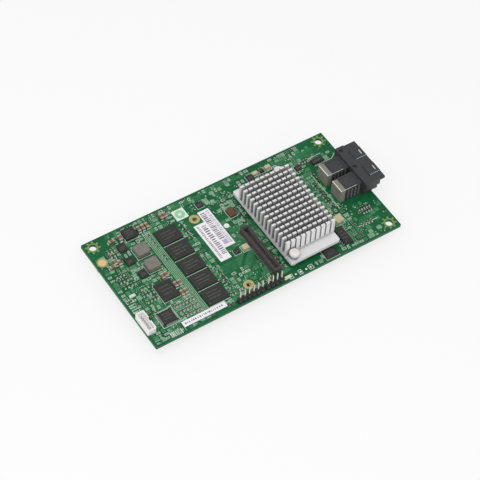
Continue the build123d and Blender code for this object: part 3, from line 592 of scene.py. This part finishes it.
class Artwork:
    """Tracks, print, bare pads and fine chips of one face, cell by cell, clear of what stands there."""

    def __init__(self, side):
        self.side = side
        kinds = ("tracks", "pale_tracks", "dots", "pads", "marks", "chips", "caps")
        self.shapes = {kind: Shape(side) for kind in kinds}

    def bar(self, kind, cell, x, y, wide, tall, high):
        """A flat bar at a place in the cell, where the board is free along its whole length."""
        cx, cy, turned = cell
        if turned:
            x, y, wide, tall = -y, x, tall, wide
        x, y = cx + x, cy + y
        ends = [(x - wide / 2, y - tall / 2), (x, y), (x + wide / 2, y + tall / 2)]
        if all(is_free(px, py, 0.12, self.side) for px, py in ends):
            self.shapes[kind].plate(x - wide / 2, x + wide / 2, y - tall / 2, y + tall / 2, 0.0, high)
            return True
        return False

    def is_clear(self, cell, wide, tall):
        cx, cy, turned = cell
        if turned:
            wide, tall = tall, wide
        corners = [(cx + i * wide / 2, cy + j * tall / 2) for i in (-1, 0, 1) for j in (-1, 0, 1)]
        return all(is_free(x, y, 0.15, self.side) for x, y in corners)

    def draw_tracks(self, cell):
        count = draw.choice((3, 4, 5))
        kind = draw.choice(("tracks", "pale_tracks", "pale_tracks"))
        self.bar("tracks", cell, 0, 0, cell_size * 0.95, count * track_pitch, under_height)
        for i in range(count):
            length = draw.uniform(1.6, cell_size * 1.1)
            self.bar(kind, cell, draw.uniform(-0.2, 0.2), (i - (count - 1) / 2) * track_pitch, length,
                     track_line, mask_height)

    def draw_place(self, cell):
        """The printed frame and two bare pads of a part that isn't fitted."""
        wide, tall = draw.choice(((2.1, 1.2), (1.7, 1.0), (1.9, 0.9)))
        if not self.is_clear(cell, wide, tall):
            return
        for end in (-1, 1):
            self.bar("marks", cell, 0, end * tall / 2, wide, place_line, silk_height)
            self.bar("marks", cell, end * wide / 2, 0, place_line, tall, silk_height)
            self.bar("pads", cell, end * wide * 0.28, 0, 0.42, tall * 0.55, pad_height)

    def draw_grid(self, cell):
        for i in range(3):
            for j in range(2):
                self.bar("pads", cell, (i - 1) * 0.8, (j - 0.5) * 0.95, 0.4, 0.4, pad_height)

    def draw_comb(self, cell):
        for i in range(4):
            self.bar("marks", cell, (i - 1.5) * 0.6, 0, 0.22, draw.choice((0.9, 1.5)), silk_height)

    def draw_chips(self, cell):
        """Two or three of the finest chips side by side, each with its tin ends."""
        length, width, height = fine_chip
        for i in range(draw.choice((2, 3))):
            x = (i - 1) * 0.95
            if self.bar("chips", cell, x, 0, width, length - 2 * fine_cap, height):
                for end in (-1, 1):
                    self.bar("caps", cell, x, end * (length - fine_cap) / 2, width, fine_cap, height)

    def draw_dots(self, cell):
        cx, cy, _ = cell
        for _ in range(draw.choice((3, 5))):
            x, y = cx + draw.uniform(-1.2, 1.2), cy + draw.uniform(-1.2, 1.2)
            if is_free(x, y, 0.3, self.side):
                self.shapes["dots"].disc(x, y, draw.choice((0.16, 0.2, 0.24)), 0.0, via_height, 8)

    def draw_bare(self, cell):
        """Nothing, as on the plain stretches of the board."""

    def fill(self, zones):
        for x0, x1, y0, y1, busy in zones:
            names, shares = zip(*motif_shares[busy].items())
            columns, rows = round((x1 - x0) / cell_size), round((y1 - y0) / cell_size)
            for i in range(columns):
                for j in range(rows):
                    x = x0 + (i + 0.5) * (x1 - x0) / columns + draw.uniform(-cell_jitter, cell_jitter)
                    y = y0 + (j + 0.5) * (y1 - y0) / rows + draw.uniform(-cell_jitter, cell_jitter)
                    motif = draw.choices(names, shares)[0]
                    getattr(self, "draw_" + motif)((x, y, draw.random() < 0.5))

    def make(self, suffix):
        looks = {
            "tracks": ("trace", "board_green"), "pale_tracks": ("pale_trace", "board_green"),
            "dots": ("silk", "board_green"), "pads": ("pad", "contact_tin"),
            "marks": ("silk", "board_green"), "chips": ("resistor", "ceramic_dark"),
            "caps": ("cap", "contact_tin"),
        }
        for kind, (look, slot) in looks.items():
            if self.shapes[kind].faces:
                self.shapes[kind].make("fine_" + kind + suffix, finishes[look], slot)


def board_artwork():
    """The small artwork of both faces."""
    for side, zones, suffix in ((1, top_zones, "_top"), (-1, under_zones, "_under")):
        art = Artwork(side)
        art.fill(zones)
        art.make(suffix)


silk_line = 0.22
# Parts with a printed frame, and the gap between part and frame
framed_parts = {
    "quad_chip": 1.35, "flash_chip": 0.35, "flat_chips": 0.35, "driver_chip": 0.4, "oscillator": 0.5,
    "power_inductors": 0.4, "tantalum_capacitors": 0.6,
}
memory_line_out = 0.62
memory_line_in = 0.34
test_point_y = -33.3
test_points = (3.0, 6.2, 9.0, 11.8, 15.1, 17.7)
test_point_frames = ((5.1, 7.3), (10.7, 12.7), (16.5, 19.1))
empty_places_y = (-6.0, -9.0, -12.0)
corner_bars = 7
corner_bar_pitch = 0.95


def silk_print():
    """Printed frames and lines on the component side."""
    silk, dots = Shape(), Shape()
    for node, gap in framed_parts.items():
        for x0, y0, z0, x1, y1, z1 in solids_of(node):
            if z0 < 1:
                silk.outline(x0 - gap, x1 + gap, y0 - gap, y1 + gap, silk_line, 0.0, silk_height)
    for x0, y0, z0, x1, y1, z1 in solids_of("memory_chips"):
        silk.plate(x0, x1, y0 - memory_line_out, y0 - memory_line_in, 0.0, silk_height)
        silk.disc(x1 + 0.75, y0 + 0.6, 0.32, 0.0, silk_height)
    # Lines beside the storage sockets
    silk.plate(50.55, 50.85, -11.0, 14.0, 0.0, silk_height)
    silk.plate(55.0, 62.9, 23.65, 23.95, 0.0, silk_height)
    silk.ribbon([(55.5, 18.1), (66.0, 18.1), (70.3, 21.0)], 0.3, 0.0, silk_height)
    silk.plate(52.0, 63.5, -25.35, -25.05, 0.0, silk_height)
    # Outlined empty places at the left edge and test points at the front edge
    for y in empty_places_y:
        silk.outline(-69.8, -66.2, y - 0.95, y + 0.95, 0.25, 0.0, silk_height)
    for x in test_points:
        dots.disc(x, test_point_y, 0.5, 0.0, silk_height, 16)
    for x0, x1 in test_point_frames:
        silk.outline(x0, x1, -34.7, -31.9, 0.28, 0.0, silk_height)
    # Bars at the front left corner
    for i in range(corner_bars):
        x = -61.5 + corner_bar_pitch * i
        silk.plate(x, x + 0.4, -34.3, -31.2, 0.0, silk_height)
    dots.disc(-3.5, 8.9, 1.4, 0.0, silk_height, 24)
    silk.make("silk_print", finishes["silk"], "board_green")
    dots.make("white_dots", finishes["white_silk"], "board_green")


field_height = 0.02
# Each field: x from, x to, y from, y to
copper_fields = [
    (45.5, 51.0, 10.2, 15.0), (45.3, 48.0, -12.0, 9.0), (51.8, 62.0, 27.8, 29.6), (-4.6, -1.6, 1.6, 5.2),
    (1.6, 4.6, 25.4, 29.2), (-24.4, -16.4, 30.3, 34.2), (-53.0, -37.4, -29.0, -15.9),
    (-42.6, -37.2, -15.9, 25.0),
]


def pale_fields():
    """Wide copper areas under the mask that look paler than the rest."""
    fields = Shape()
    for x0, x1, y0, y1 in copper_fields:
        fields.plate(x0, x1, y0, y1, 0.0, field_height)
    fields.make("copper_fields", finishes["field"], "board_green")


corner_via_count = 8
corner_via_ring = 3.35
corner_via_radius = 0.52
collar_inner = 1.98
collar_outer = 2.25
halo_reach = 2.8


def corner_vias():
    """A ring of plated holes round each corner hole, on both faces."""
    for side, name in ((1, "corner_vias_top"), (-1, "corner_vias_under")):
        dots, halo = Shape(side), Shape(side)
        for hx, hy in hole_places:
            dots.ring(hx, hy, collar_inner, collar_outer, 0.0, pad_height, 28)
            halo.ring(hx, hy, collar_outer, halo_reach, 0.0, under_height, 28)
            for i in range(corner_via_count):
                turn = 2 * math.pi * (i + 0.5) / corner_via_count
                x, y = hx + corner_via_ring * math.cos(turn), hy + corner_via_ring * math.sin(turn)
                dots.disc(x, y, corner_via_radius, 0.0, via_height, 12)
        dots.make(name, finishes["corner"], "contact_gold")
        halo.make(name + "_halo", finishes["halo"], "board_green")


marked_chips = ("memory_chips", "flash_chip", "quad_chip", "driver_chip", "long_chips", "power_chips",
                "flat_chips")


def chip_marks():
    """Faint lines and a dot on the larger chips."""
    marks = Shape()
    for node in marked_chips:
        for x0, y0, z0, x1, y1, z1 in solids_of(node):
            if z1 < 0.5 or x1 - x0 < 2.6:
                continue
            wide, tall = x1 - x0, y1 - y0
            marks.disc(x0 + 0.7, y0 + 0.7, 0.28, z1, z1 + print_height, 10)
            lines = 3 if tall > 6 else 2
            for i in range(lines):
                y = y0 + tall * (0.32 + 0.2 * i)
                reach = wide * (0.62 if i % 2 else 0.5)
                start = x0 + wide * 0.2
                while start < x0 + wide * 0.2 + reach:
                    step = draw.uniform(0.35, 0.8)
                    marks.plate(start, start + step, y - 0.22, y + 0.22, z1, z1 + print_height)
                    start += step + 0.25
    marks.make("chip_marks", finishes["chip_mark"], "chip_dark")


def label_print():
    """Plain bars in columns on the labels, and a ring on the square sticker."""
    right_label, left_label = sorted(solids_of("barcode_labels"), key=lambda b: -b[0])
    ink, pale, fine = Shape(), Shape(), Shape()
    # Ink, label, sides of the column, its two ends, and how coarse its bars are
    columns = [
        (ink, right_label, 0.7, 3.7, 5.6, 24.2, 0.65), (pale, right_label, 4.0, 5.7, 1.6, 23.6, 0.6),
        (ink, left_label, 3.3, 5.8, 3.5, 23.5, 0.65), (fine, left_label, 1.1, 2.4, 2.0, 23.8, 0.5),
    ]
    for shape, (x0, y0, z0, x1, y1, z1), left, right, start, stop, coarse in columns:
        y = y0 + start
        while y < y0 + stop:
            step = draw.uniform(0.5, 1.2) * coarse
            reach = right if draw.random() < 0.8 else right - 0.5
            shape.plate(x0 + left, x0 + reach, y, y + step, z1, z1 + print_height)
            y += step + draw.uniform(0.7, 1.2) * coarse
    x0, y0, z0, x1, y1, z1 = right_label
    pale.plate(x0 + 1.25, x0 + 3.75, y0 + 1.7, y0 + 4.7, z1, z1 + print_height)
    pale.make("label_pale_bars", finishes["pale_ink"], "label_white")
    x0, y0, z0, x1, y1, z1 = solids_of("strip_label")[0]
    x = x0 + 1.2
    while x < x1 - 1.6:
        step = draw.uniform(0.25, 0.9)
        fine.plate(x, x + step, y0 + 1.1, y1 - 1.1, z1, z1 + print_height)
        x += step + draw.uniform(0.3, 0.8)
    ink.make("label_bars", finishes["ink"], "label_white")
    fine.make("label_fine_lines", finishes["fine_ink"], "label_white")
    x0, y0, z0, x1, y1, z1 = solids_of("square_sticker")[0]
    x, y = (x0 + x1) / 2, (y0 + y1) / 2
    field, ring = Shape(), Shape()
    field.ring(x, y, 0.9, 2.6, z1, z1 + print_height, 28)
    ring.ring(x, y, 1.5, 1.95, z1, z1 + 2 * print_height, 28)
    field.make("sticker_field", finishes["green_ink"], "label_green")
    ring.make("sticker_ring", finishes["ring_ink"], "label_green")


thread_turns = 9
thread_pitch = 0.5
thread_inner = 1.02
thread_outer = 1.25
thread_half = 0.16
thread_floor = 5.0
closed_face_radius = 1.95


def standoff_faces():
    """Dark thread inside the open standoffs and the plain face of the closed one."""
    threads, face = Shape(), Shape()
    for x0, y0, z0, x1, y1, z1 in solids_of("module_standoffs"):
        x, y = (x0 + x1) / 2, (y0 + y1) / 2
        for i in range(thread_turns):
            z = z1 - thread_pitch * (i + 1)
            threads.ring(x, y, thread_inner, thread_outer, z - thread_half, z + thread_half, 20)
        threads.disc(x, y, 1.2, z1 - thread_floor, z1 - thread_floor + 0.1, 20)
    x0, y0, z0, x1, y1, z1 = solids_of("blind_standoff")[0]
    face.disc((x0 + x1) / 2, (y0 + y1) / 2, closed_face_radius, z1, z1 + print_height, 32)
    threads.make("standoff_threads", finishes["thread"], "standoff_brass")
    face.make("closed_standoff_face", finishes["peach"], "standoff_brass")


rib_count = 4
rib_pitch = 2.1
rib_width = 0.7
rib_depth = 0.15
rib_start = 0.5
rib_end = 0.7
side_offset = 0.35
# Painted highlights on the sockets: the widths and places of the pale lines and of the pale block in each
# slot
rear_line = 0.5
side_line = 0.13
bay_half = 3.3
bay_line = 0.15
bay_back = 6.3
spring_half = 1.45
spring_back = 1.8
spring_front = 1.5
spring_depth = 0.7
panel_inset = 0.7
panel_line = 0.22


def socket_details():
    """Painted highlights along the edges and in the slots, ribs and panel lines on the storage sockets'
    housing.
    """
    bright, ribs, lines = Shape(), Shape(), Shape()
    x0, y0, z0, lip_x, y1, bay_top = solids_of("sas_housing")[0]
    middle = (y0 + y1) / 2
    wafers = solids_of("sas_contact_wafers")
    rear = min(box[0] for box in wafers)
    top = max(box[5] for box in wafers)
    for side in (-1, 1):
        own = [box for box in wafers if (box[1] - middle) * side > 0]
        low, high = min(box[1] for box in own), max(box[4] for box in own)
        y = (low + high) / 2
        # Painted highlights along the rear top edge and the near top edge of each block of wafers
        bright.plate(rear, rear + rear_line, low, high, top, top + 0.04)
        bright.plate(rear, x0 + 6.5, low - 0.05, low + side_line, top, top + 0.03)
        # Painted highlight along the near edge of the raised bay, and painted light as a pale block in the
        # slot by the spring edge
        bright.plate(lip_x - bay_back, lip_x - 0.2, y - bay_half, y - bay_half + bay_line, bay_top,
                     bay_top + 0.02)
        bright.plate(lip_x - spring_back, lip_x - spring_front, y - spring_half, y + spring_half,
                     bay_top - spring_depth, bay_top)
        for i in range(rib_count):
            x = x0 + 1.2 + rib_pitch * i
            for face, out in ((low - side_offset, -rib_depth), (high + side_offset, rib_depth)):
                ribs.plate(x, x + rib_width, min(face, face + out), max(face, face + out), rib_start,
                           top - rib_end)
        lines.outline(x0 + 0.4, x0 + 8.2, low + panel_inset, high - panel_inset, panel_line, top, top + 0.02)
    bright.make("socket_bright_edges", finishes["bright_edge"], "connector_black")
    ribs.make("socket_ribs", finishes["edge"], "connector_black")
    lines.make("socket_panel_lines", finishes["groove"], "connector_black")


header_wall = 0.75
header_rise = 0.92
header_pin_gap = 0.05


def header_floor():
    """Bright floor inside the white header."""
    x0, y0, z0, x1, y1, z1 = solids_of("power_header_shroud")[0]
    floor = Shape()
    edges = [y0 + header_wall, y1 - header_wall]
    for box in solids_of("power_header_pins"):
        edges += [box[1] - header_pin_gap, box[4] + header_pin_gap]
    edges.sort()
    for low, high in zip(edges[::2], edges[1::2]):
        floor.plate(x0 + header_wall, x1 - header_wall, low, high, header_rise, header_rise + 0.06)
    floor.make("header_floor", finishes["cavity"], "shroud_white")


cone_steps = 3
cone_reach = 0.42
cone_taper = 0.13
cone_step = 0.12


def solder_cones():
    """Solder round the pin tails under the board."""
    joints = Shape(-1)
    for node in ("pin_header_pins", "power_header_pins", "sas_locating_pegs"):
        for x0, y0, z0, x1, y1, z1 in solids_of(node):
            x, y = (x0 + x1) / 2, (y0 + y1) / 2
            radius = (x1 - x0) / 2
            for i in range(cone_steps):
                reach = radius + cone_reach - cone_taper * i
                joints.disc(x, y, reach, cone_step * i, cone_step * (i + 1), 14)
    joints.make("tail_solder", finishes["solder"], "solder_grey")


# The camera, the lights and the ground

floor_reach = 6.0
floor_color = (0.93, 0.93, 0.93)
floor_glow = 0.72
world_strength = 0.66
key_power = 3.0
key_place = (-0.35, -0.30, 0.75)
key_size = 0.6


def make_camera():
    data = bpy.data.cameras.new("camera")
    data.sensor_width = camera_sensor
    data.lens = camera_lens
    data.clip_start, data.clip_end = 0.01, 20
    camera = bpy.data.objects.new("camera", data)
    columns = [Vector(camera_right), -Vector(camera_down), -Vector(camera_forward)]
    turn = Matrix(columns).transposed().to_4x4()
    camera.matrix_world = Matrix.Translation(row_point(*camera_place)) @ turn
    bpy.context.scene.collection.objects.link(camera)
    bpy.context.scene.camera = camera


def floor_material():
    """A plain pale floor that also glows, for the camera and for what mirrors or shows it."""
    material = new_material("floor_paint", floor_color, 0.9, 0.0, 0.1)
    shader = material.node_tree.nodes["Principled BSDF"]
    rays = add(material, "ShaderNodeLightPath")
    seen = rays.outputs["Is Camera Ray"]
    for kind in ("Is Glossy Ray", "Is Transmission Ray"):
        either = add(material, "ShaderNodeMath", operation="MAXIMUM")
        link(material, seen, either.inputs[0])
        link(material, rays.outputs[kind], either.inputs[1])
        seen = either.outputs["Value"]
    share = add(material, "ShaderNodeMath", operation="MULTIPLY")
    share.inputs[1].default_value = floor_glow
    link(material, seen, share.inputs[0])
    glow = add(material, "ShaderNodeEmission")
    glow.inputs["Color"].default_value = (1, 1, 1, 1)
    glow.inputs["Strength"].default_value = 1.0
    both = add(material, "ShaderNodeMixShader")
    link(material, share.outputs["Value"], both.inputs["Fac"])
    link(material, shader.outputs["BSDF"], both.inputs[1])
    link(material, glow.outputs["Emission"], both.inputs[2])
    link(material, both.outputs["Shader"], material.node_tree.nodes["Material Output"].inputs["Surface"])
    return material


def make_floor():
    data = bpy.data.meshes.new("floor")
    r = floor_reach
    data.from_pydata([(-r, -r, 0), (r, -r, 0), (r, r, 0), (-r, r, 0)], [], [(0, 1, 2, 3)])
    floor = bpy.data.objects.new("floor", data)
    bpy.context.scene.collection.objects.link(floor)
    data.materials.append(floor_material())


def make_lights():
    world = bpy.data.worlds.new("studio")
    world.use_nodes = True
    world.node_tree.nodes["Background"].inputs["Color"].default_value = (1, 1, 1, 1)
    world.node_tree.nodes["Background"].inputs["Strength"].default_value = world_strength
    bpy.context.scene.world = world
    lamp = bpy.data.lights.new("key", "AREA")
    lamp.shape = "SQUARE"
    lamp.size = key_size
    lamp.energy = key_power
    key = bpy.data.objects.new("key", lamp)
    key.location = key_place
    key.rotation_euler = (-Vector(key_place)).to_track_quat("-Z", "Y").to_euler()
    bpy.context.scene.collection.objects.link(key)


bpy.context.scene.view_settings.view_transform = "Standard"
make_camera()
make_floor()
make_lights()
finish_nodes()
ease_edges()
board_traces()
pale_fields()
board_artwork()
silk_print()
corner_vias()
chip_ends()
chip_marks()
label_print()
standoff_faces()
socket_details()
header_floor()
solder_cones()
